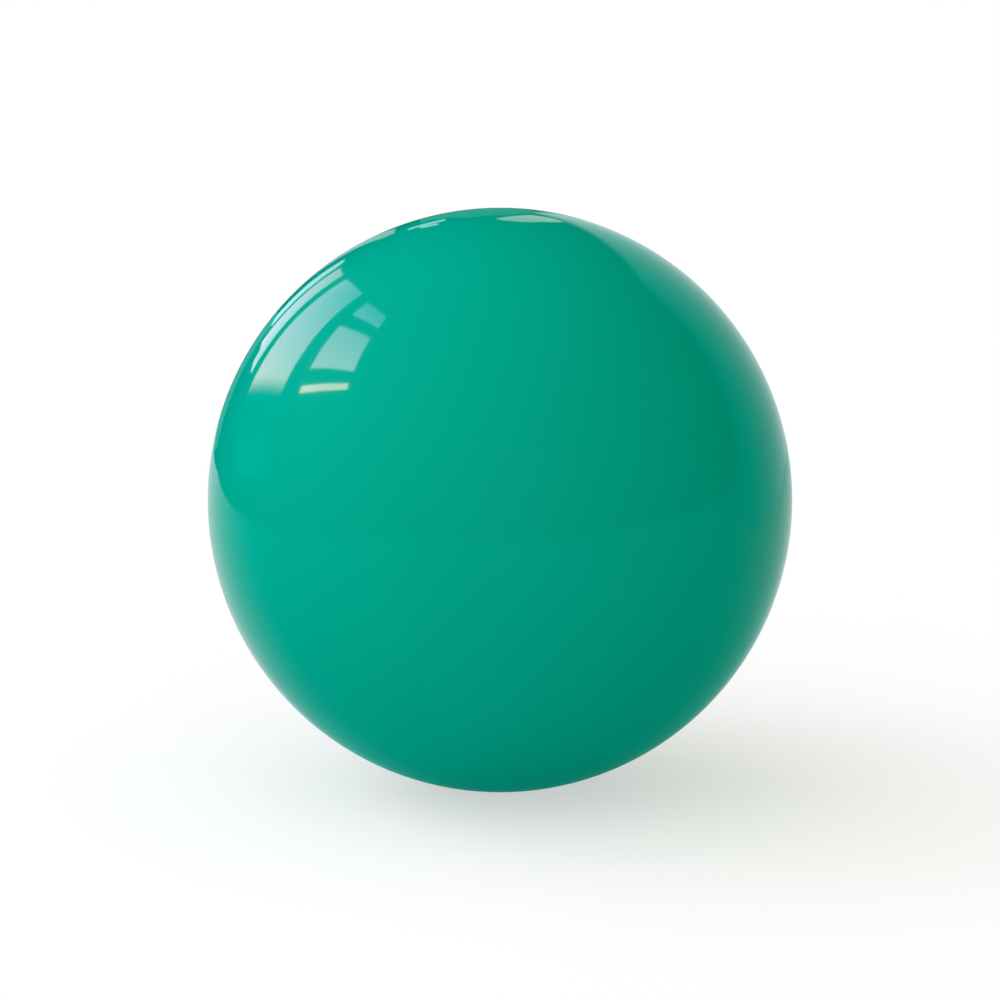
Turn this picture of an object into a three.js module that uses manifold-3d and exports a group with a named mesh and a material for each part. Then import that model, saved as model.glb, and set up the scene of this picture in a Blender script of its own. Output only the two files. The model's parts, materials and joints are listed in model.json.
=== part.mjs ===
// Stage juggling ball: a hollow, thick-walled shell of soft PVC, with a valve collar moulded into
// the wall and a push-in stopper that closes it flush with the ball's surface.
//
// Millimetres, +Z up. The origin is the centre of the ball. The valve is on the far side (+Y), high up.

import * as THREE from "three";
import { mergeVertices } from "three/addons/utils/BufferGeometryUtils.js";
import Module from "manifold-3d";

// Driving dimensions of the ball
const BALL_DIAMETER = 100;
const WALL = 6;
const REST_PATCH_DIAMETER = 6; // pressed flat under the ball by its own weight
const VALVE_ELEVATION = THREE.MathUtils.degToRad(60); // valve axis above the horizon

// Driving dimensions of the stopper
const HEAD_DIAMETER = 9;
const HEAD_THICKNESS = 2;
const HEAD_EDGE_ROUND = 0.4;
const STEM_DIAMETER = 4;
const STEM_TIP_REACH = 1.5; // how far the tip stands out of the collar, inside the ball
const TIP_ROUND = 1.2;
const RIB_COUNT = 3;
const RIB_HEIGHT = 0.35;
const RIB_LENGTH = 1.6;
const RIB_PITCH = 2.5;
const FIRST_RIB_DEPTH = 1.2; // below the head's underside

// Driving dimensions of the valve collar and of the boss that holds it
const COLLAR_WALL = 1.4;
const COLLAR_FLANGE_REACH = 3;
const COLLAR_FLANGE_THICKNESS = 2;
const COLLAR_NOSE_LENGTH = 2; // stands out of the boss, inside the ball
const COLLAR_NOSE_TAPER = 0.6;
const COLLAR_MOUTH_CHAMFER = 0.4;
const BOSS_HEIGHT = 5;
const BOSS_WALL = 2;
const BOSS_EDGE_ROUND = 1;
const BOSS_FILLET = 2;
const BOSS_ROOT = 0.2; // how far the fillet runs into the ball's wall
const DIMPLE_EDGE_ROUND = 0.5;

// Clearances
const SEAT_GAP = 0.3; // stopper head to dimple, and collar to shell
const BORE_GAP = 0.25; // stopper ribs to collar bore

// Facets
const BALL_FACETS = 72;
const BALL_ARC_STEPS = 36;
const HOLLOW_FACETS = 48;
const HOLLOW_ARC_STEPS = 24;
const VALVE_FACETS = 36;
const ROUND_STEPS = 4;

// Sizes that follow. A level is a distance from the ball's centre along the valve axis.
const ballRadius = BALL_DIAMETER / 2;
const hollowRadius = ballRadius - WALL;
const headRadius = HEAD_DIAMETER / 2;
const stemRadius = STEM_DIAMETER / 2;
const ribRadius = stemRadius + RIB_HEIGHT;
const boreRadius = ribRadius + BORE_GAP;
const collarRadius = boreRadius + COLLAR_WALL;
const flangeRadius = collarRadius + COLLAR_FLANGE_REACH;
const dimpleRadius = headRadius + SEAT_GAP;
const bossRadius = flangeRadius + SEAT_GAP + BOSS_WALL;

const headLevel = ballRadius - HEAD_THICKNESS;
const dimpleLevel = headLevel - SEAT_GAP;
const bossLevel = hollowRadius - BOSS_HEIGHT;
const flangeMiddle = (dimpleLevel + bossLevel) / 2;
const flangeTop = flangeMiddle + COLLAR_FLANGE_THICKNESS / 2;
const flangeBottom = flangeMiddle - COLLAR_FLANGE_THICKNESS / 2;
const collarLevel = bossLevel - COLLAR_NOSE_LENGTH;
const tipLevel = collarLevel - STEM_TIP_REACH;

const UPRIGHT = Math.PI / 2; // swings a turned piece's own axis, +Y, up to +Z

const wasm = await Module();
wasm.setup();

// A point of a turned profile: distance from the axis, and level along it.
const at = (radius, level) => new THREE.Vector2(radius, level);

// Points along an arc of a profile, both ends included. Angles start at the outward radius.
function arc(centre, radius, from, to, steps) {
  return Array.from({ length: steps + 1 }, (_, i) => {
    const angle = from + ((to - from) * i) / steps;
    return at(centre.x + radius * Math.cos(angle), centre.y + radius * Math.sin(angle));
  });
}

// A profile turned about its axis, and then swung up from +Y towards +Z.
function turned(profile, facets, elevation) {
  return new THREE.LatheGeometry(profile, facets).rotateX(elevation);
}

function solidOf(geometry) {
  const bare = geometry.clone();
  bare.deleteAttribute("normal");
  bare.deleteAttribute("uv");
  const merged = mergeVertices(bare);
  const vertProperties = merged.attributes.position.array;
  const triVerts = new Uint32Array(merged.index.array);
  return new wasm.Manifold(new wasm.Mesh({ numProp: 3, vertProperties, triVerts }));
}

function geometryOf(solid) {
  const { vertProperties, triVerts } = solid.getMesh();
  const geometry = new THREE.BufferGeometry();
  geometry.setAttribute("position", new THREE.BufferAttribute(vertProperties, 3));
  geometry.setIndex(new THREE.BufferAttribute(triVerts, 1));
  geometry.computeVertexNormals();
  return geometry;
}

// The ball's outside, about the upright axis. It stands on a small flat. The halves meet at a ring of
// corners round the waist, so that the ball measures its full diameter there.
function outsideProfile() {
  const centre = at(0, 0);
  const patchEdge = -Math.acos(REST_PATCH_DIAMETER / BALL_DIAMETER);
  const lowerHalf = arc(centre, ballRadius, patchEdge, 0, BALL_ARC_STEPS / 2);
  const upperHalf = arc(centre, ballRadius, 0, Math.PI / 2, BALL_ARC_STEPS / 2);
  return [at(0, lowerHalf[0].y), ...lowerHalf, ...upperHalf.slice(1)];
}

// The boss that carries the collar, about the valve axis. Its fillet runs into the ball's wall.
function bossProfile() {
  const edge = at(bossRadius - BOSS_EDGE_ROUND, bossLevel + BOSS_EDGE_ROUND);
  const filletOut = bossRadius + BOSS_FILLET;
  const filletReach = hollowRadius + BOSS_ROOT - BOSS_FILLET;
  const fillet = at(filletOut, Math.sqrt(filletReach ** 2 - filletOut ** 2));
  return [
    at(0, bossLevel),
    ...arc(edge, BOSS_EDGE_ROUND, -Math.PI / 2, 0, ROUND_STEPS),
    ...arc(fillet, BOSS_FILLET, Math.PI, fillet.angle(), ROUND_STEPS),
    at(0, ballRadius),
  ];
}

// What is cut out for the valve, about its axis: the collar's seat with a groove for the flange, and
// the dimple for the stopper's head, whose rim is rounded over to the ball.
function seatProfile() {
  const seatRadius = collarRadius + SEAT_GAP;
  const grooveRadius = flangeRadius + SEAT_GAP;
  const rimOut = dimpleRadius + DIMPLE_EDGE_ROUND;
  const rim = at(rimOut, Math.sqrt((ballRadius - DIMPLE_EDGE_ROUND) ** 2 - rimOut ** 2));
  return [
    at(0, collarLevel),
    at(seatRadius, collarLevel),
    at(seatRadius, flangeBottom - SEAT_GAP),
    at(grooveRadius, flangeBottom - SEAT_GAP),
    at(grooveRadius, flangeTop + SEAT_GAP),
    at(seatRadius, flangeTop + SEAT_GAP),
    at(seatRadius, dimpleLevel),
    at(dimpleRadius, dimpleLevel),
    ...arc(rim, DIMPLE_EDGE_ROUND, Math.PI, rim.angle(), ROUND_STEPS),
    at(0, BALL_DIAMETER),
  ];
}

// The shell is a ball with a hollow that leaves the boss standing, and with the valve's seat cut out.
function ballShell() {
  const outside = solidOf(turned(outsideProfile(), BALL_FACETS, UPRIGHT));
  const boss = solidOf(turned(bossProfile(), VALVE_FACETS, VALVE_ELEVATION));
  const seat = solidOf(turned(seatProfile(), VALVE_FACETS, VALVE_ELEVATION));
  const sphere = new THREE.SphereGeometry(hollowRadius, HOLLOW_FACETS, HOLLOW_ARC_STEPS);
  const hollow = solidOf(sphere.rotateX(UPRIGHT)).subtract(boss);
  return geometryOf(outside.subtract(hollow).subtract(seat));
}

// The collar is a soft bush with a flange that the shell was moulded round.
function valveCollar() {
  const noseRadius = collarRadius - COLLAR_NOSE_TAPER;
  const profile = [
    at(boreRadius, collarLevel),
    at(noseRadius, collarLevel),
    at(collarRadius, bossLevel),
    at(collarRadius, flangeBottom),
    at(flangeRadius, flangeBottom),
    at(flangeRadius, flangeTop),
    at(collarRadius, flangeTop),
    at(collarRadius, dimpleLevel),
    at(boreRadius + COLLAR_MOUTH_CHAMFER, dimpleLevel),
    at(boreRadius, dimpleLevel - COLLAR_MOUTH_CHAMFER),
    at(boreRadius, collarLevel),
  ];
  return turned(profile, VALVE_FACETS, VALVE_ELEVATION);
}

// One rib of the stem. It widens gently towards the head and drops back sharply, so that it slides
// in and holds.
function rib(top) {
  return [at(stemRadius, top - RIB_LENGTH), at(ribRadius, top), at(stemRadius, top)];
}

// The stopper has a round tip, a ribbed stem and a head whose top is part of the ball's surface.
function valveStopper() {
  const tip = at(stemRadius - TIP_ROUND, tipLevel + TIP_ROUND);
  const rimOut = headRadius - HEAD_EDGE_ROUND;
  const rim = at(rimOut, Math.sqrt((ballRadius - HEAD_EDGE_ROUND) ** 2 - rimOut ** 2));
  const firstRib = headLevel - FIRST_RIB_DEPTH;
  const ribTops = Array.from({ length: RIB_COUNT }, (_, i) => firstRib - i * RIB_PITCH);
  const profile = [
    at(0, tipLevel),
    ...arc(tip, TIP_ROUND, -Math.PI / 2, 0, ROUND_STEPS),
    ...ribTops.reverse().flatMap(rib),
    at(stemRadius, headLevel),
    at(headRadius, headLevel),
    ...arc(rim, HEAD_EDGE_ROUND, 0, rim.angle(), ROUND_STEPS),
    ...arc(at(0, 0), ballRadius, rim.angle(), Math.PI / 2, ROUND_STEPS).slice(1),
  ];
  return turned(profile, VALVE_FACETS, VALVE_ELEVATION);
}

const greenPvc = new THREE.MeshStandardMaterial({ color: 0x00a58c, roughness: 0.06, metalness: 0 });
const stopperPvc = new THREE.MeshStandardMaterial({ color: 0x009a82, roughness: 0.3, metalness: 0 });
const collarRubber = new THREE.MeshStandardMaterial({ color: 0x2a2c2d, roughness: 0.7, metalness: 0 });

function piece(name, geometry, material) {
  const mesh = new THREE.Mesh(geometry, material);
  mesh.name = name;
  return mesh;
}

const stageBall = new THREE.Group();
stageBall.add(piece("ball_shell", ballShell(), greenPvc));
stageBall.add(piece("valve_collar", valveCollar(), collarRubber));
stageBall.add(piece("valve_stopper", valveStopper(), stopperPvc));

export default stageBall;
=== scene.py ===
"""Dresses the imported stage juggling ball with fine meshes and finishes, and sets a studio round it.

Metres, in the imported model's frame: +Z up, +Y away from the camera, origin at the ball's centre.
"""

import json
import math

import bmesh
import bpy
from bpy.props import FloatProperty, FloatVectorProperty, IntProperty, PointerProperty
from mathutils import Matrix, Vector


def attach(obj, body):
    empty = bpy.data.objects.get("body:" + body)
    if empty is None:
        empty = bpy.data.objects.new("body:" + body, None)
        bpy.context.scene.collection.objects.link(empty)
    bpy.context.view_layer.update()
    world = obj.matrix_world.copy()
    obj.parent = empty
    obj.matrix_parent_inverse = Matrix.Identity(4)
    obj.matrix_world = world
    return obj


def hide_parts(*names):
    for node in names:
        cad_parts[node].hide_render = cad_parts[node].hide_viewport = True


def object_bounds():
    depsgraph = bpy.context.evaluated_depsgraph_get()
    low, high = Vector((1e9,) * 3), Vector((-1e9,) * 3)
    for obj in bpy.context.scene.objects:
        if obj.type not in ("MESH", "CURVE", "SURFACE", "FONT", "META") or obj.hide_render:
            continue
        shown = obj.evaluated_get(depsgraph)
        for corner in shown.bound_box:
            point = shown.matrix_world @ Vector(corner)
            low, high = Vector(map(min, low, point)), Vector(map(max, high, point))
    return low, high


bl_info = {
    "name": "Stage juggling ball",
    "version": (1, 0, 0),
    "blender": (4, 5, 0),
    "location": "3D View > Sidebar > Stage Ball",
    "description": "Builds a glossy stage juggling ball with its air valve, and a studio round it",
    "category": "Add Mesh",
}

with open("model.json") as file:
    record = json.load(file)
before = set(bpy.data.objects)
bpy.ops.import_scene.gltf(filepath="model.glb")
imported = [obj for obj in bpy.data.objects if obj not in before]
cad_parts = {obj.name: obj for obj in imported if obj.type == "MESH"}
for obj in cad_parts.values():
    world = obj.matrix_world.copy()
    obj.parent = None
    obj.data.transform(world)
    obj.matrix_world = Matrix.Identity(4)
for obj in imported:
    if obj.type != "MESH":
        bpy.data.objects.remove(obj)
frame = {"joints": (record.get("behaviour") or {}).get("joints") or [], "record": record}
CAD_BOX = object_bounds()

BALL_RADIUS = (CAD_BOX[1].x - CAD_BOX[0].x) / 2
FLOOR_LEVEL = CAD_BOX[0].z
VALVE_AXIS = Vector(frame["joints"][0]["axis"])
VALVE_LEAN = math.atan2(VALVE_AXIS.y, VALVE_AXIS.z)
RECORD_COLOURS = {row["slot"]: row["base_color"] for row in frame["record"]["materials"]}

# Facets of the meshes
BALL_FACETS = 224
BALL_ARC_STEPS = 150
HOLLOW_ARC_STEPS = 56
VALVE_FACETS = 96
CROWN_STEPS = 12
ROUND_STEPS = 6
EDGE_STEPS = 3
SHARP_ANGLE = math.radians(35)
MERGE_DISTANCE = 1e-6
CUT_DISTANCE = 1e-7
FLAT_SEARCH = 0.95  # faces below this share of the floor's depth can touch the flat

# Clouds in the finishes
CLOUD_MIDDLE = 0.5
HAZE_PATCHES = 0.45, 0.8

# Soft light on the ball
SOFT_LIGHT_FROM = Vector((-0.82, -0.41, 0.46))
SOFT_LIGHT_FALL = 2.0

# The window: an upright plane on the left, with directions of its own that lean towards the back
WINDOW_PLANE = -2.0
WINDOW_LEAN = math.radians(30)
WINDOW_LOW, WINDOW_HIGH = 1.4, 3.3
WINDOW_AWAY, WINDOW_NEAR = -1.8, 1.0
SKY_FALL = 1.4
SKYLINE_LEAN = 0.25
SKYLINE_FADE = 1.02, 1.265
HAZE_FADE = 1.37, 1.26

# The upright plane of the small lights behind the ball
BACK_PLANE = 3.0

# The table: its corners, where it turns white to the camera, and where it turns pale in the gloss
TABLE_CORNERS = [
    (-0.42, -0.6), (3.0, -0.6), (3.0, 0.9), (0.28, 0.085), (0.28, 0.42), (-0.318, 0.42),
]
TABLE_WHITE_FADE = 0.07, 0.2
TABLE_MIDDLE = (-0.056, -0.032, 0.0)
TABLE_BACK = (0.157, 1.0, 0.056)
TABLE_BACK_FADE = 0.207, 0.824
TABLE_SIDE = (1.0, 0.233, 0.0)
TABLE_SIDE_FADE = 0.558, 0.117

# The white card in the gloss: for each edge an axis, and how far along it the card starts and is
# full, and where it turns pale
CARD_EDGES = [
    ((0.768, 0.542, -0.342), 0.491, 0.531),
    ((-0.18, 0.75, -0.64), -0.06, 0.06),
    ((1.0, -0.04, 0.0), -0.01, 0.01),
]
CARD_BACK = (0.011, 1.0, -0.221)
CARD_BACK_FADE = 0.342, 0.984

# How the table and the card turn pale, and what the camera sees round the stage
GLOSS_FALL = 2.0
WHITE = (1.0, 1.0, 1.0)


def length(name, description, default):
    """A size in metres."""
    return FloatProperty(
        name=name, description=description, default=default, min=0.0, unit="LENGTH", precision=5
    )


def amount(name, description, default):
    """A plain number from nought up."""
    return FloatProperty(name=name, description=description, default=default, min=0.0, precision=3)


def colour(name, description, default):
    """A linear colour."""
    return FloatVectorProperty(
        name=name, description=description, default=default, min=0.0, max=1.0, size=3,
        subtype="COLOR",
    )


class ShellSizes(bpy.types.PropertyGroup):
    """Sizes of the hollow shell and of the place that it leaves for the valve"""

    radius: length("Ball radius", "Half of the ball's diameter", BALL_RADIUS)
    wall: length("Wall", "Thickness of the shell", 0.006)
    gap: length("Seat gap", "Room round the stopper's head and round the collar", 0.0003)
    dimple_radius: length("Dimple radius", "Recess that the stopper's head sits in", 0.0048)
    dimple_depth: length("Dimple depth", "From the ball's crown to the recess's floor", 0.0023)
    dimple_round: length("Dimple rim", "Round between the recess and the ball", 0.0005)
    boss_radius: length("Boss radius", "Thick place in the wall that holds the collar", 0.0093)
    boss_height: length("Boss height", "From the wall's inside to the boss's end", 0.005)
    boss_round: length("Boss edge", "Round at the boss's end", 0.001)
    boss_fillet: length("Boss root", "Fillet between the boss and the wall", 0.002)


class CollarSizes(bpy.types.PropertyGroup):
    """Sizes of the soft collar that the shell is moulded round"""

    radius: length("Collar radius", "Outside of the collar's bush", 0.004)
    bore_radius: length("Bore radius", "Passage for the stopper's stem", 0.0026)
    flange_radius: length("Flange radius", "Flange that keys the collar into the boss", 0.007)
    flange_thickness: length("Flange thickness", "Thickness of that flange", 0.002)
    nose_length: length("Nose length", "How far the collar stands out of the boss", 0.002)
    nose_taper: length("Nose taper", "How much the nose narrows", 0.0006)
    mouth_chamfer: length("Mouth chamfer", "Lead-in at the bore's outer end", 0.0004)
    edge_round: length("Edge round", "Round on every moulded edge", 0.00015)


class StopperSizes(bpy.types.PropertyGroup):
    """Sizes of the ribbed push-in stopper"""

    head_radius: length("Head radius", "Head that closes flush with the ball", 0.0045)
    head_thickness: length("Head thickness", "From the ball's crown to the head's underside", 0.002)
    head_round: length("Head rim", "Round on the head's edge", 0.0004)
    stem_radius: length("Stem radius", "Stem between the ribs", 0.002)
    tip_reach: length("Tip reach", "How far the tip stands out of the collar", 0.0015)
    tip_round: length("Tip round", "Round of the stem's tip", 0.0012)
    rib_count: IntProperty(name="Ribs", description="Gripping ribs on the stem", default=3, min=0)
    rib_height: length("Rib height", "How far a rib stands out of the stem", 0.00035)
    rib_length: length("Rib length", "Length of a rib's lead-in", 0.0016)
    rib_pitch: length("Rib pitch", "From one rib to the next", 0.0025)
    first_rib: length("First rib", "From the head's underside to the first rib", 0.0012)
    edge_round: length("Edge round", "Round on every moulded edge", 0.00008)


class Finishes(bpy.types.PropertyGroup):
    """Colours of the pieces, as the record gives them"""

    ball_colour: colour("Ball", "Polished soft plastic of the shell", RECORD_COLOURS["green_pvc"])
    stopper_colour: colour(
        "Stopper", "Satin plastic of the stopper", RECORD_COLOURS["stopper_pvc"]
    )
    collar_colour: colour("Collar", "Matt rubber of the collar", RECORD_COLOURS["collar_rubber"])


class StageSettings(bpy.types.PropertyGroup):
    """The studio: camera, floor and lights"""

    distance: length("Camera distance", "From the ball's centre to the camera", 0.75)
    elevation: FloatProperty(
        name="Camera elevation",
        description="How far the camera looks down",
        default=math.radians(11),
        subtype="ANGLE",
    )
    lens: FloatProperty(name="Lens", description="Focal length", default=157.5, unit="CAMERA")
    floor_colour: colour("Floor", "Pale table top", (0.48, 0.48, 0.48))
    floor_glow: amount("Floor glow", "Light that the table throws back even under the ball", 0.42)
    floor_lift: amount("Floor lift", "How far the table is lifted to white for the camera", 0.55)
    bright: amount("Brightness", "Strength of the soft light all round", 1.74)
    bright_side: colour("Bright side", "Soft light from the left", (0.89, 0.94, 0.976))
    shade_side: colour("Shade side", "Soft light from the right", (0.14, 0.109, 0.0))
    window: amount("Window", "Strength of the window on the left", 7.0)
    low_near: colour(
        "Window low near", "Light of the panes low down, beside the ball", (0.911, 0.704, 0.976)
    )
    low_away: colour(
        "Window low away", "Light of the panes low down, behind the ball", (0.523, 0.335, 0.392)
    )
    high_near: colour(
        "Window high near", "Light of the panes high up, beside the ball", (0.066, 0.201, 0.385)
    )
    high_away: colour(
        "Window high away", "Light of the panes high up, behind the ball", (0.224, 0.221, 0.34)
    )
    haze: colour("Window haze", "Warm tint of the panes' lowest strip", (1.0, 0.98, 0.83))
    ledge: colour("Window ledge", "Light that is left below the panes", (0.0, 0.04, 0.063))
    table_near: colour("Table near", "Table in the gloss, beside the ball", (0.0, 0.42, 0.34))
    table_far: colour("Table far", "Table in the gloss, behind the ball", (0.45, 0.56, 0.57))
    card_near: colour("Card near", "White card in the gloss, beside the ball", (0.0, 0.59, 0.6))
    card_far: colour("Card far", "White card in the gloss, behind the ball", (0.61, 0.795, 0.79))
    room: colour("Room", "Dim room in the gloss", (0.0, 0.18, 0.14))


class Outline:
    """A profile drawn by a pen: X is the distance from the axis, Z the level along it."""

    def __init__(self, radius, level):
        self.mesh = bmesh.new()
        self.pen = self.mesh.verts.new((radius, 0.0, level))

    def line(self, radius, level):
        """Draw straight on to a point."""
        start = self.pen
        self.pen = self.mesh.verts.new((radius, 0.0, level))
        self.mesh.edges.new((start, self.pen))

    def arc(self, radius, level, sweep, steps):
        """Swing the pen about a centre. A positive sweep goes from outwards to upwards."""
        swung = bmesh.ops.spin(
            self.mesh, geom=[self.pen], cent=(radius, 0.0, level), axis=(0.0, -1.0, 0.0),
            angle=sweep, steps=steps, use_merge=False,
        )
        self.pen = next(
            item for item in swung["geom_last"] if isinstance(item, bmesh.types.BMVert)
        )

    def turned(self, facets):
        """Turn the profile about the axis into a closed solid."""
        mesh = self.mesh
        bmesh.ops.spin(
            mesh, geom=mesh.verts[:] + mesh.edges[:], cent=(0.0, 0.0, 0.0), axis=(0.0, 0.0, 1.0),
            angle=math.tau, steps=facets, use_merge=True,
        )
        bmesh.ops.remove_doubles(mesh, verts=mesh.verts[:], dist=MERGE_DISTANCE)
        bmesh.ops.recalc_face_normals(mesh, faces=mesh.faces[:])
        return mesh


def round_edges(mesh, width):
    """Round the sharp edges of a turned solid."""
    sharp = [
        edge for edge in mesh.edges
        if edge.is_manifold and edge.calc_face_angle() > SHARP_ANGLE
    ]
    bmesh.ops.bevel(
        mesh, geom=sharp, offset=width, offset_type="OFFSET", affect="EDGES",
        segments=EDGE_STEPS, profile=0.5, material=-1, clamp_overlap=True,
    )


def lean_to_valve(mesh):
    """Swing a solid that was turned upright over to the valve's axis."""
    swing = Matrix.Rotation(-VALVE_LEAN, 3, "X")
    bmesh.ops.rotate(mesh, cent=(0.0, 0.0, 0.0), matrix=swing, verts=mesh.verts[:])


def press_flat(mesh):
    """Cut the small flat that the ball stands on."""
    low = [face for face in mesh.faces if face.calc_center_median().z < FLOOR_LEVEL * FLAT_SEARCH]
    corners = {vert for face in low for vert in face.verts}
    sides = {edge for face in low for edge in face.edges}
    cut = bmesh.ops.bisect_plane(
        mesh, geom=[*low, *corners, *sides], plane_co=(0.0, 0.0, FLOOR_LEVEL),
        plane_no=(0.0, 0.0, -1.0), clear_outer=True, dist=CUT_DISTANCE,
    )
    ring = [item for item in cut["geom_cut"] if isinstance(item, bmesh.types.BMEdge)]
    bmesh.ops.contextual_create(mesh, geom=ring)
    bmesh.ops.recalc_face_normals(mesh, faces=mesh.faces[:])


def add_piece(name, mesh, material, body, cad_node):
    """Make a solid a piece of the object that rides on a body and stands for a CAD node."""
    if not mesh.faces or any(not edge.is_manifold for edge in mesh.edges):
        raise RuntimeError(f"{name} isn't a closed solid")
    data = bpy.data.meshes.new(name)
    mesh.to_mesh(data)
    mesh.free()
    data.shade_smooth()
    data.set_sharp_from_angle(angle=SHARP_ANGLE)
    data.materials.append(material)
    piece = bpy.data.objects.new(name, data)
    bpy.context.scene.collection.objects.link(piece)
    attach(piece, body)
    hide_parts(cad_node)


def levels(scene):
    """Levels along the valve's axis, from the ball's centre."""
    shell, collar, stopper = scene.ball_shell, scene.ball_collar, scene.ball_stopper
    found = {
        "head": shell.radius - stopper.head_thickness,
        "dimple": shell.radius - shell.dimple_depth,
        "boss": shell.radius - shell.wall - shell.boss_height,
    }
    middle = (found["dimple"] + found["boss"]) / 2
    found["flange_top"] = middle + collar.flange_thickness / 2
    found["flange_bottom"] = middle - collar.flange_thickness / 2
    found["nose"] = found["boss"] - collar.nose_length
    found["tip"] = found["nose"] - stopper.tip_reach
    return found


def tangent_round(reach, radius):
    """Level and direction of a round's centre, from its reach and its distance from the axis."""
    level = math.sqrt(reach ** 2 - radius ** 2)
    return level, math.atan2(level, radius)


def shell_mesh(scene):
    """The hollow shell: outside, dimple, seat with its groove, boss and hollow in one profile."""
    shell, collar, at = scene.ball_shell, scene.ball_collar, levels(scene)
    seat = collar.radius + shell.gap
    groove = collar.flange_radius + shell.gap
    hollow = shell.radius - shell.wall
    rim = shell.dimple_radius + shell.dimple_round
    rim_level, rim_angle = tangent_round(shell.radius - shell.dimple_round, rim)
    boss_end = shell.boss_radius - shell.boss_round
    root = shell.boss_radius + shell.boss_fillet
    root_level, root_angle = tangent_round(hollow - shell.boss_fillet, root)

    outline = Outline(0.0, -shell.radius)
    outline.arc(0.0, 0.0, math.pi / 2 + rim_angle, BALL_ARC_STEPS)
    outline.arc(rim, rim_level, math.pi - rim_angle, ROUND_STEPS)
    outline.line(shell.dimple_radius, at["dimple"])
    outline.line(seat, at["dimple"])
    outline.line(seat, at["flange_top"] + shell.gap)
    outline.line(groove, at["flange_top"] + shell.gap)
    outline.line(groove, at["flange_bottom"] - shell.gap)
    outline.line(seat, at["flange_bottom"] - shell.gap)
    outline.line(seat, at["boss"])
    outline.line(boss_end, at["boss"])
    outline.arc(boss_end, at["boss"] + shell.boss_round, math.pi / 2, ROUND_STEPS)
    outline.line(shell.boss_radius, root_level)
    outline.arc(root, root_level, root_angle - math.pi, ROUND_STEPS)
    outline.arc(0.0, 0.0, -math.pi / 2 - root_angle, HOLLOW_ARC_STEPS)
    mesh = outline.turned(BALL_FACETS)
    lean_to_valve(mesh)
    press_flat(mesh)
    return mesh


def collar_mesh(scene):
    """The collar: a bush with a flange half way, a tapered nose and a chamfered mouth."""
    collar, at = scene.ball_collar, levels(scene)
    outline = Outline(collar.bore_radius, at["nose"])
    outline.line(collar.radius - collar.nose_taper, at["nose"])
    outline.line(collar.radius, at["boss"])
    outline.line(collar.radius, at["flange_bottom"])
    outline.line(collar.flange_radius, at["flange_bottom"])
    outline.line(collar.flange_radius, at["flange_top"])
    outline.line(collar.radius, at["flange_top"])
    outline.line(collar.radius, at["dimple"])
    outline.line(collar.bore_radius + collar.mouth_chamfer, at["dimple"])
    outline.line(collar.bore_radius, at["dimple"] - collar.mouth_chamfer)
    outline.line(collar.bore_radius, at["nose"])
    mesh = outline.turned(VALVE_FACETS)
    round_edges(mesh, collar.edge_round)
    lean_to_valve(mesh)
    return mesh


def stopper_mesh(scene):
    """The stopper: a round tip, a ribbed stem, and a head that lies flush with the ball."""
    shell, stopper, at = scene.ball_shell, scene.ball_stopper, levels(scene)
    rim = stopper.head_radius - stopper.head_round
    rim_level, rim_angle = tangent_round(shell.radius - stopper.head_round, rim)
    stem = stopper.stem_radius
    tip = stem - stopper.tip_round

    outline = Outline(0.0, at["tip"])
    outline.line(tip, at["tip"])
    outline.arc(tip, at["tip"] + stopper.tip_round, math.pi / 2, ROUND_STEPS)
    for number in reversed(range(stopper.rib_count)):
        top = at["head"] - stopper.first_rib - number * stopper.rib_pitch
        outline.line(stem, top - stopper.rib_length)
        outline.line(stem + stopper.rib_height, top)
        outline.line(stem, top)
    outline.line(stem, at["head"])
    outline.line(stopper.head_radius, at["head"])
    outline.line(stopper.head_radius, rim_level)
    outline.arc(rim, rim_level, rim_angle, ROUND_STEPS)
    outline.arc(0.0, 0.0, math.pi / 2 - rim_angle, CROWN_STEPS)
    mesh = outline.turned(VALVE_FACETS)
    round_edges(mesh, stopper.edge_round)
    lean_to_valve(mesh)
    return mesh


def node(tree, kind, values=None, **settings):
    """A new node with its settings, and a value or a link for each named or numbered input."""
    made = tree.nodes.new(kind)
    for name, value in settings.items():
        setattr(made, name, value)
    for name, value in (values or {}).items():
        if isinstance(value, bpy.types.NodeSocket):
            tree.links.new(value, made.inputs[name])
        else:
            made.inputs[name].default_value = value
    return made


def object_place(tree):
    """Where a point of the surface lies, in its object's own coordinates."""
    return node(tree, "ShaderNodeTexCoord").outputs["Object"]


def opaque(tint):
    """A colour with its alpha."""
    return (*tint, 1.0)


def blended(tree, share, first, second, way="MIX"):
    """A colour between two others, or one laid on the other in another way."""
    values = {"Factor": share, "A": first, "B": second}
    return node(tree, "ShaderNodeMix", values, data_type="RGBA", blend_type=way).outputs["Result"]


def between(tree, share, first, second):
    """A value between two others."""
    values = {"Factor": share, "A": first, "B": second}
    return node(tree, "ShaderNodeMix", values).outputs["Result"]


def rise(tree, value, low, high, way="LINEAR"):
    """A share that rises evenly from nought to one, or falls where low is the higher value."""
    values = {"Value": value, "From Min": low, "From Max": high}
    return node(tree, "ShaderNodeMapRange", values, interpolation_type=way).outputs["Result"]


def ramp(tree, value, low, high):
    """A share that rises or falls between nought and one with soft ends."""
    return rise(tree, value, low, high, way="SMOOTHSTEP")


def reckoned(tree, operation, *values):
    """A sum, product or other reckoning of a few values."""
    return node(tree, "ShaderNodeMath", dict(enumerate(values)), operation=operation).outputs[0]


def vector_node(tree, operation, *values):
    """A node that reckons with places or directions."""
    return node(tree, "ShaderNodeVectorMath", dict(enumerate(values)), operation=operation)


def along(tree, vector, axis):
    """How far a place or a direction reaches along an axis."""
    return vector_node(tree, "DOT_PRODUCT", vector, axis).outputs["Value"]


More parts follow.
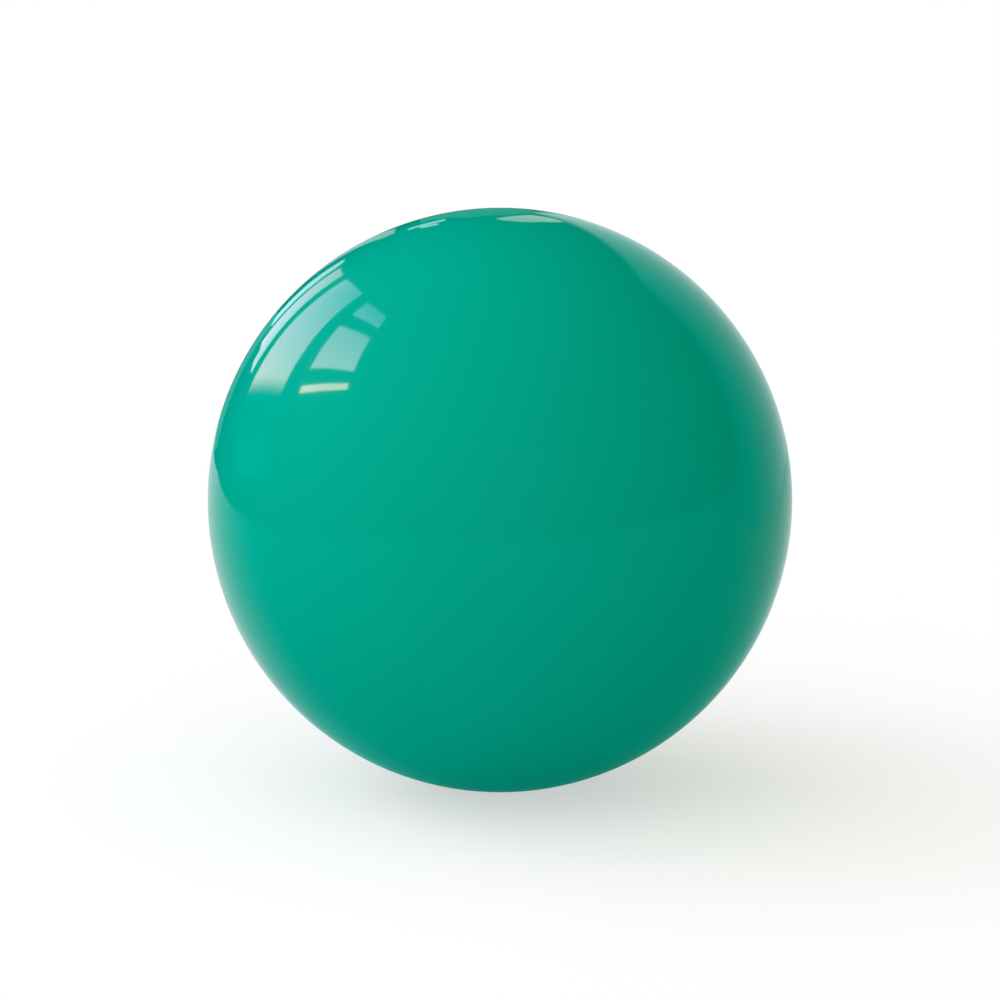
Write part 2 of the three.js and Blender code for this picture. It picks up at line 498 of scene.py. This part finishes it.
def cloud(tree, vector, scale, detail, roughness, distortion=0.0):
    """Cloudy values between nought and one."""
    values = {
        "Vector": vector, "Scale": scale, "Detail": detail, "Roughness": roughness,
        "Distortion": distortion,
    }
    return node(tree, "ShaderNodeTexNoise", values).outputs["Fac"]


def shading(tree, kind, values):
    """What a shader node gives."""
    return node(tree, kind, values).outputs[0]


VECTOR_SOCKET, COLOUR_SOCKET, VALUE_SOCKET = (
    "NodeSocketVector", "NodeSocketColor", "NodeSocketFloat",
)


def new_group(name, inputs, output, output_kind):
    """A node group with named inputs and one output, its inputs' sockets, and its end's socket."""
    tree = bpy.data.node_groups.new(name, "ShaderNodeTree")
    for label, kind in inputs.items():
        tree.interface.new_socket(label, in_out="INPUT", socket_type=kind)
    tree.interface.new_socket(output, in_out="OUTPUT", socket_type=output_kind)
    given = node(tree, "NodeGroupInput").outputs
    return tree, given, node(tree, "NodeGroupOutput").inputs[output]


def pigment_drift_group():
    """Lets a plastic's colour drift a little, as pigment that was stirred in does."""
    inputs = {
        "Vector": VECTOR_SOCKET, "Colour": COLOUR_SOCKET, "Scale": VALUE_SOCKET,
        "Drift": VALUE_SOCKET,
    }
    tree, given, end = new_group("Pigment drift", inputs, "Colour", COLOUR_SOCKET)
    stirred = cloud(tree, given["Vector"], given["Scale"], detail=3.0, roughness=0.5)
    swing = reckoned(tree, "SUBTRACT", stirred, CLOUD_MIDDLE)
    value = reckoned(tree, "MULTIPLY_ADD", swing, given["Drift"], 1.0)
    tinted = node(tree, "ShaderNodeHueSaturation", {"Color": given["Colour"], "Value": value})
    tree.links.new(tinted.outputs["Color"], end)
    return tree


def handling_haze_group():
    """Lets a surface's roughness rise in soft patches, where hands have dulled it."""
    inputs = {
        "Vector": VECTOR_SOCKET, "Scale": VALUE_SOCKET, "Clean": VALUE_SOCKET,
        "Dulled": VALUE_SOCKET,
    }
    tree, given, end = new_group("Handling haze", inputs, "Roughness", VALUE_SOCKET)
    touched = cloud(
        tree, given["Vector"], given["Scale"], detail=6.0, roughness=0.6, distortion=0.4
    )
    patches = ramp(tree, touched, *HAZE_PATCHES)
    tree.links.new(between(tree, patches, given["Clean"], given["Dulled"]), end)
    return tree


def moulding_ripple_group():
    """Height of a moulded skin: broad ripples, and a finer grain over them."""
    inputs = {
        "Vector": VECTOR_SOCKET, "Ripple Scale": VALUE_SOCKET, "Grain Scale": VALUE_SOCKET,
        "Grain Share": VALUE_SOCKET,
    }
    tree, given, end = new_group("Moulding ripple", inputs, "Height", VALUE_SOCKET)
    ripple = cloud(tree, given["Vector"], given["Ripple Scale"], detail=1.0, roughness=0.4)
    grain = cloud(tree, given["Vector"], given["Grain Scale"], detail=2.0, roughness=0.5)
    tree.links.new(between(tree, given["Grain Share"], ripple, grain), end)
    return tree


GROUP_MAKERS = {
    "Pigment drift": pigment_drift_group,
    "Handling haze": handling_haze_group,
    "Moulding ripple": moulding_ripple_group,
}


def placed_group(tree, name, values):
    """The output of a shared node group, placed in a material with its own values."""
    shared = bpy.data.node_groups.get(name) or GROUP_MAKERS[name]()
    return node(tree, "ShaderNodeGroup", values, node_tree=shared).outputs[0]


def moulded_material(name, tint, ior, drift, haze, ripple, relief):
    """A moulded finish: drifting colour, handled gloss and a rippled skin on one shader."""
    material = bpy.data.materials.new(name)
    material.use_nodes = True
    tree = material.node_tree
    surface = tree.nodes["Principled BSDF"].inputs
    where = object_place(tree)
    pigment = placed_group(
        tree, "Pigment drift", {"Vector": where, "Colour": opaque(tint), **drift}
    )
    handling = placed_group(tree, "Handling haze", {"Vector": where, **haze})
    skin = placed_group(tree, "Moulding ripple", {"Vector": where, **ripple})
    bump = node(tree, "ShaderNodeBump", {"Strength": 1.0, "Distance": relief, "Height": skin})
    surface["IOR"].default_value = ior
    tree.links.new(pigment, surface["Base Color"])
    tree.links.new(handling, surface["Roughness"])
    tree.links.new(bump.outputs["Normal"], surface["Normal"])
    return material


def polished_pvc(tint):
    """The ball's polished soft plastic."""
    return moulded_material(
        "polished_green_pvc", tint, ior=1.45,
        drift={"Scale": 45.0, "Drift": 0.05},
        haze={"Scale": 60.0, "Clean": 0.045, "Dulled": 0.08},
        ripple={"Ripple Scale": 70.0, "Grain Scale": 700.0, "Grain Share": 0.04},
        relief=0.000012,
    )


def satin_pvc(tint):
    """The stopper's satin plastic."""
    return moulded_material(
        "satin_stopper_pvc", tint, ior=1.45,
        drift={"Scale": 300.0, "Drift": 0.08},
        haze={"Scale": 500.0, "Clean": 0.26, "Dulled": 0.42},
        ripple={"Ripple Scale": 600.0, "Grain Scale": 5000.0, "Grain Share": 0.4},
        relief=0.000006,
    )


def valve_rubber(tint):
    """The collar's matt rubber."""
    return moulded_material(
        "matt_collar_rubber", tint, ior=1.5,
        drift={"Scale": 400.0, "Drift": 0.3},
        haze={"Scale": 700.0, "Clean": 0.62, "Dulled": 0.85},
        ripple={"Ripple Scale": 1200.0, "Grain Scale": 6000.0, "Grain Share": 0.6},
        relief=0.00003,
    )


def window_axes():
    """The window's own directions on its plane: across, and up."""
    lean, upright = math.sin(WINDOW_LEAN), math.cos(WINDOW_LEAN)
    return Vector((0.0, -upright, lean)), Vector((0.0, lean, upright))


def stage_sheet(name, corners, material, seen):
    """A flat sheet of the stage, which the camera sees or not."""
    mesh = bmesh.new()
    mesh.faces.new([mesh.verts.new(corner) for corner in corners])
    data = bpy.data.meshes.new(name)
    mesh.to_mesh(data)
    mesh.free()
    data.materials.append(material)
    sheet = bpy.data.objects.new(name, data)
    sheet.visible_camera = seen
    bpy.context.scene.collection.objects.link(sheet)


def stage_material(name):
    """A material with nothing but its output, and the socket that its surface goes to."""
    material = bpy.data.materials.new(name)
    material.use_nodes = True
    tree = material.node_tree
    tree.nodes.remove(tree.nodes["Principled BSDF"])
    return material, tree, tree.nodes["Material Output"].inputs["Surface"]


def even_glow(name, tint, strength):
    """Light that is the same all over a sheet."""
    material, tree, surface = stage_material(name)
    values = {"Color": opaque(tint), "Strength": strength}
    tree.links.new(shading(tree, "ShaderNodeEmission", values), surface)
    return material


def falling_glow(name, tint, strength, full, none):
    """Light of a pane that is seen aslant: full at one level, and none at a higher one."""
    material, tree, surface = stage_material(name)
    height = along(tree, object_place(tree), window_axes()[1])
    share = rise(tree, height, none, full)
    values = {"Color": opaque(tint), "Strength": reckoned(tree, "MULTIPLY", share, strength)}
    tree.links.new(shading(tree, "ShaderNodeEmission", values), surface)
    return material


def sky_glow(stage):
    """Light of the near panes: brightest low down, hazy at the foot, dimmer towards the back."""
    material, tree, surface = stage_material("window_sky")
    where = object_place(tree)
    across, up = window_axes()
    near = rise(tree, along(tree, where, across), WINDOW_AWAY, WINDOW_NEAR)
    low = blended(tree, near, opaque(stage.low_away), opaque(stage.low_near))
    high = blended(tree, near, opaque(stage.high_away), opaque(stage.high_near))
    fall = rise(tree, along(tree, where, up), WINDOW_HIGH, WINDOW_LOW)
    clear = blended(tree, reckoned(tree, "POWER", fall, SKY_FALL), high, low)

    level = along(tree, where, up + across * SKYLINE_LEAN)
    haze = ramp(tree, level, *HAZE_FADE)
    hazy = blended(tree, haze, clear, opaque(stage.haze), way="MULTIPLY")
    skyline = ramp(tree, level, *SKYLINE_FADE)
    seen = blended(tree, skyline, opaque(stage.ledge), hazy)
    values = {"Color": seen, "Strength": stage.window}
    tree.links.new(shading(tree, "ShaderNodeEmission", values), surface)
    return material


def pale_table(stage):
    """A pale table top: lit, white to the camera, and with colours of its own in the gloss."""
    material, tree, surface = stage_material("pale_table")
    path = node(tree, "ShaderNodeLightPath").outputs
    where = object_place(tree)
    offset = vector_node(tree, "SUBTRACT", where, TABLE_MIDDLE).outputs["Vector"]
    direction = vector_node(tree, "NORMALIZE", offset).outputs["Vector"]
    reach = rise(tree, along(tree, direction, TABLE_BACK), *TABLE_BACK_FADE)
    back = reckoned(tree, "POWER", reach, GLOSS_FALL)
    left = rise(tree, along(tree, where, TABLE_SIDE), *TABLE_SIDE_FADE)
    pale = reckoned(tree, "MULTIPLY", back, left)
    mirrored = blended(tree, pale, opaque(stage.table_near), opaque(stage.table_far))

    in_gloss = reckoned(tree, "MAXIMUM", path["Is Glossy Ray"], path["Is Transmission Ray"])
    tint = blended(tree, in_gloss, opaque(stage.floor_colour), mirrored)
    lit = shading(tree, "ShaderNodeBsdfDiffuse", {"Color": tint})
    glow = shading(tree, "ShaderNodeEmission", {"Color": tint, "Strength": stage.floor_glow})
    glowing = shading(tree, "ShaderNodeAddShader", {0: lit, 1: glow})

    lift = shading(tree, "ShaderNodeEmission", {"Strength": stage.floor_lift})
    lifted = shading(tree, "ShaderNodeAddShader", {0: lit, 1: lift})
    white = shading(tree, "ShaderNodeEmission", {"Strength": 1.0})
    away = vector_node(tree, "LENGTH", where).outputs["Value"]
    fade = ramp(tree, away, *TABLE_WHITE_FADE)
    seen = shading(tree, "ShaderNodeMixShader", {0: fade, 1: lifted, 2: white})
    final = shading(tree, "ShaderNodeMixShader", {0: path["Is Camera Ray"], 1: glowing, 2: seen})
    tree.links.new(final, surface)
    return material


def build_world(stage):
    """White to the camera, soft light from the upper left, and a white card in the gloss."""
    world = bpy.data.worlds.new("studio")
    bpy.context.scene.world = world
    world.use_nodes = True
    tree = world.node_tree
    path = node(tree, "ShaderNodeLightPath").outputs
    direction = node(tree, "ShaderNodeTexCoord").outputs["Generated"]

    side = rise(tree, along(tree, direction, SOFT_LIGHT_FROM.normalized()), -1.0, 1.0)
    share = reckoned(tree, "POWER", side, SOFT_LIGHT_FALL)
    shade, bright = stage.shade_side * stage.bright, stage.bright_side * stage.bright
    soft = blended(tree, share, opaque(shade), opaque(bright))

    inside = 1.0
    for axis, low, high in CARD_EDGES:
        past_edge = ramp(tree, along(tree, direction, axis), low, high)
        inside = reckoned(tree, "MULTIPLY", inside, past_edge)
    reach = rise(tree, along(tree, direction, CARD_BACK), *CARD_BACK_FADE)
    back = reckoned(tree, "POWER", reach, GLOSS_FALL)
    card = blended(tree, back, opaque(stage.card_near), opaque(stage.card_far))
    mirrored = blended(tree, inside, opaque(stage.room), card)

    light = blended(tree, path["Is Glossy Ray"], soft, mirrored)
    clear = reckoned(tree, "MAXIMUM", path["Is Camera Ray"], path["Is Transmission Ray"])
    final = blended(tree, clear, light, opaque(WHITE))
    tree.links.new(final, tree.nodes["Background"].inputs["Color"])


def build_table(stage):
    """The table that the ball stands on."""
    corners = [(sideways, away, FLOOR_LEVEL) for sideways, away in TABLE_CORNERS]
    stage_sheet("table_top", corners, pale_table(stage), seen=True)


def build_window(stage):
    """The window on the left: bright panes between dark bars, a sunlit sill and a pale wall."""
    sky = sky_glow(stage)
    third = falling_glow("window_third_sky", (0.9, 0.81, 1.0), strength=2.35, full=2.6, none=6.8)
    fourth = falling_glow("window_fourth_sky", (0.71, 0.92, 1.0), strength=1.96, full=3.2, none=9.6)
    sill = even_glow("window_sill", (1.0, 0.68, 0.62), strength=10.5)
    wall = even_glow("window_wall", (0.0, 0.9, 1.0), strength=0.55)
    # Corners in metres across and up the window's plane
    panes = {
        "window_middle": (sky, [(0.02, 1.46), (1.0, 1.51), (0.96, 2.31), (-0.01, 2.3)]),
        "window_top": (sky, [(0.03, 2.64), (0.98, 2.64), (0.96, 3.08), (0.04, 3.13)]),
        "window_sill": (sill, [
            (0.03, 1.112), (0.3, 1.115), (0.7, 1.146), (1.0, 1.185),
            (0.98, 1.29), (0.7, 1.251), (0.3, 1.218), (0.02, 1.208),
        ]),
        "window_side": (sky, [
            (-1.73, 1.36), (-0.4, 1.07), (-0.425, 3.31), (-1.83, 3.66), (-1.87, 2.3), (-1.8, 1.7),
        ]),
        "window_third": (third, [
            (-2.5, 1.96), (-2.3, 1.87), (-2.41, 3.86), (-3.82, 4.39), (-3.7, 2.68), (-3.0, 2.36),
            (-2.9, 2.2),
        ]),
        "window_fourth": (fourth, [
            (-4.3, 3.1), (-4.3, 3.9), (-4.45, 4.5), (-4.9, 4.93), (-5.9, 5.3), (-6.3, 4.6),
            (-6.0, 3.65),
        ]),
        "window_wall": (wall, [(-1.42, 0.7), (-0.3, 0.32), (-0.38, 0.71), (-1.5, 1.0)]),
    }
    across, up = window_axes()
    middle = Vector((WINDOW_PLANE, 0.0, 0.0))
    for name, (material, corners) in panes.items():
        places = [middle + across * right + up * height for right, height in corners]
        stage_sheet(name, places, material, seen=False)


def build_back_lights():
    """Small lights behind the ball, which its upper rim mirrors."""
    cool = even_glow("back_cool_light", (0.57, 1.0, 0.97), strength=1.5)
    lamp = even_glow("back_round_light", (0.8, 1.0, 0.85), strength=1.06)
    pale = even_glow("back_pale_light", (0.75, 1.0, 0.95), strength=0.65)
    faint = even_glow("back_faint_light", (0.18, 1.0, 0.85), strength=0.45)
    dim = even_glow("back_dim_light", (0.16, 1.0, 0.78), strength=0.37)
    # Corners in metres to the right and up
    lights = {
        "back_streak": (cool, [(-0.52, 0.98), (-0.32, 1.05), (-0.28, 0.91), (-0.47, 0.83)]),
        "back_wedge": (cool, [(-0.51, 1.2), (-0.41, 1.29), (-0.38, 1.15), (-0.45, 0.99)]),
        "back_round": (lamp, [
            (0.36, 1.0), (0.28, 0.88), (0.16, 0.85), (0.1, 1.07), (-0.03, 1.4), (0.03, 1.56),
            (0.15, 1.61), (0.24, 1.53), (0.34, 1.25),
        ]),
        "back_edge": (pale, [
            (-0.22, -0.15), (-0.45, -0.05), (-0.5, 0.2), (-0.53, 0.42), (-0.58, 0.74),
            (-0.52, 0.76), (-0.43, 0.53), (-0.32, 0.27),
        ]),
        "back_strip": (faint, [
            (-0.48, -0.17), (-0.57, -0.3), (-0.63, -0.47), (-1.34, -0.34), (-1.25, -0.06),
            (-1.15, 0.12), (-1.05, 0.23), (-0.86, 0.15),
        ]),
        "back_haze": (dim, [
            (0.02, -0.05), (0.12, 0.3), (0.13, 0.75), (0.05, 1.05), (-0.2, 1.15), (-0.24, 0.85),
            (-0.33, 0.6), (-0.22, 0.2), (-0.15, -0.05),
        ]),
    }
    for name, (material, corners) in lights.items():
        places = [(sideways, BACK_PLANE, height) for sideways, height in corners]
        stage_sheet(name, places, material, seen=False)


def build_camera(stage):
    """The camera, at the photograph's viewing angle."""
    data = bpy.data.cameras.new("camera")
    data.lens = stage.lens
    camera = bpy.data.objects.new("camera", data)
    back = Vector((0.0, -math.cos(stage.elevation), math.sin(stage.elevation)))
    camera.location = back * stage.distance
    camera.rotation_euler = back.to_track_quat("Z", "Y").to_euler()
    bpy.context.scene.collection.objects.link(camera)
    bpy.context.scene.camera = camera


class STAGEBALL_OT_stage(bpy.types.Operator):
    """Set up the table, the lights, the world and the camera"""

    bl_idname = "stageball.stage"
    bl_label = "Stage"

    def execute(self, context):
        stage = context.scene.ball_stage
        context.scene.view_settings.view_transform = "Standard"
        build_table(stage)
        build_window(stage)
        build_back_lights()
        build_world(stage)
        build_camera(stage)
        return {"FINISHED"}


class STAGEBALL_OT_shell(bpy.types.Operator):
    """Build the hollow shell with its dimple, valve seat and boss"""

    bl_idname = "stageball.shell"
    bl_label = "Ball shell"

    def execute(self, context):
        scene = context.scene
        finish = polished_pvc(scene.ball_finishes.ball_colour)
        add_piece(
            "ball_skin", shell_mesh(scene), finish,
            body="ball", cad_node="ball_shell",
        )
        return {"FINISHED"}


class STAGEBALL_OT_collar(bpy.types.Operator):
    """Build the soft collar in the valve's seat"""

    bl_idname = "stageball.collar"
    bl_label = "Valve collar"

    def execute(self, context):
        scene = context.scene
        finish = valve_rubber(scene.ball_finishes.collar_colour)
        add_piece(
            "valve_bush", collar_mesh(scene), finish,
            body="ball", cad_node="valve_collar",
        )
        return {"FINISHED"}


class STAGEBALL_OT_stopper(bpy.types.Operator):
    """Build the ribbed stopper that closes the valve"""

    bl_idname = "stageball.stopper"
    bl_label = "Valve stopper"

    def execute(self, context):
        scene = context.scene
        finish = satin_pvc(scene.ball_finishes.stopper_colour)
        add_piece(
            "valve_plug", stopper_mesh(scene), finish,
            body="stopper", cad_node="valve_stopper",
        )
        return {"FINISHED"}


class STAGEBALL_PT_sidebar(bpy.types.Panel):
    """Lists the build steps, and the sizes, colours and settings that they use"""

    bl_label = "Stage Ball"
    bl_space_type = "VIEW_3D"
    bl_region_type = "UI"
    bl_category = "Stage Ball"

    def draw(self, context):
        layout = self.layout
        for operator in OPERATORS:
            layout.operator(operator.bl_idname)
        for label in SETTINGS:
            settings = getattr(context.scene, label)
            for name in settings.__annotations__:
                layout.prop(settings, name)


SETTINGS = {
    "ball_shell": ShellSizes,
    "ball_collar": CollarSizes,
    "ball_stopper": StopperSizes,
    "ball_finishes": Finishes,
    "ball_stage": StageSettings,
}
OPERATORS = (STAGEBALL_OT_stage, STAGEBALL_OT_shell, STAGEBALL_OT_collar, STAGEBALL_OT_stopper)
CLASSES = (*SETTINGS.values(), *OPERATORS, STAGEBALL_PT_sidebar)


def register():
    """Make the settings, the operators and the panel known to Blender."""
    for entry in CLASSES:
        bpy.utils.register_class(entry)
    for label, group in SETTINGS.items():
        setattr(bpy.types.Scene, label, PointerProperty(type=group))


def unregister():
    """Take them out again."""
    for label in SETTINGS:
        delattr(bpy.types.Scene, label)
    for entry in reversed(CLASSES):
        bpy.utils.unregister_class(entry)


def main():
    """Build the stage and the ball."""
    register()
    bpy.ops.stageball.stage()
    bpy.ops.stageball.shell()
    bpy.ops.stageball.collar()
    bpy.ops.stageball.stopper()


if __name__ == "__main__":
    main()
